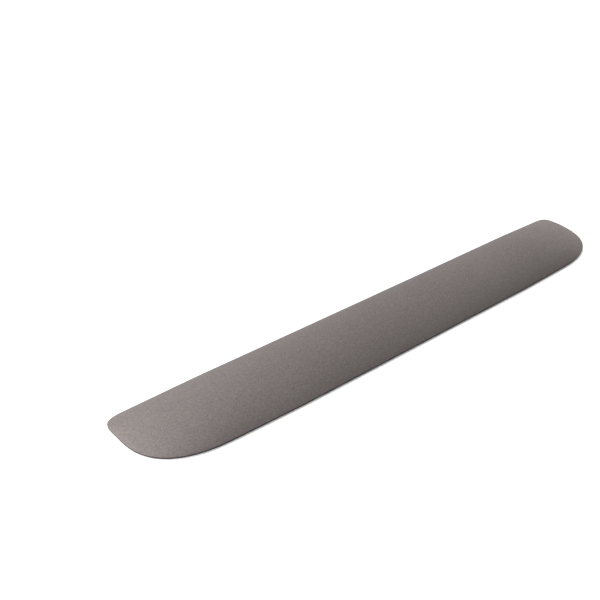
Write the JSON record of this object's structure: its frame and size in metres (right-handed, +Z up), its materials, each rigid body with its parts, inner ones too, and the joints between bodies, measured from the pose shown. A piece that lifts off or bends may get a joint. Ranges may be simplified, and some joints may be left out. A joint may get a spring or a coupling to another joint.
{
  "type": "keyboard wrist rest",
  "caption": "Long low wrist rest for a keyboard, with a domed foam pad under a stretched grey fabric cover on an anti-slip rubber base.",
  "frame": {"origin": "on the surface that the pad lies on, under the middle of the pad's length and depth", "axes": "+X along the pad to the typist's right, +Y towards the keyboard, +Z up"},
  "size_m": [0.47, 0.064, 0.0165],
  "materials": {
    "cover_fabric": "warm grey fine jersey knit, matt, lightly brushed",
    "cover_adhesive_film": "milky hot-melt adhesive film",
    "memory_foam_core": "cream open-cell memory foam",
    "base_adhesive_sheet": "amber double-sided adhesive sheet",
    "anti_slip_base": "black rubber with a fine moulded grip pattern underneath"
  },
  "bodies": {
    "root": {"cover_fabric": "cover_fabric", "cover_adhesive_film": "cover_adhesive_film", "memory_foam_core": "memory_foam_core", "base_adhesive_sheet": "base_adhesive_sheet", "anti_slip_base": "anti_slip_base"}
  },
  "joints": []
}
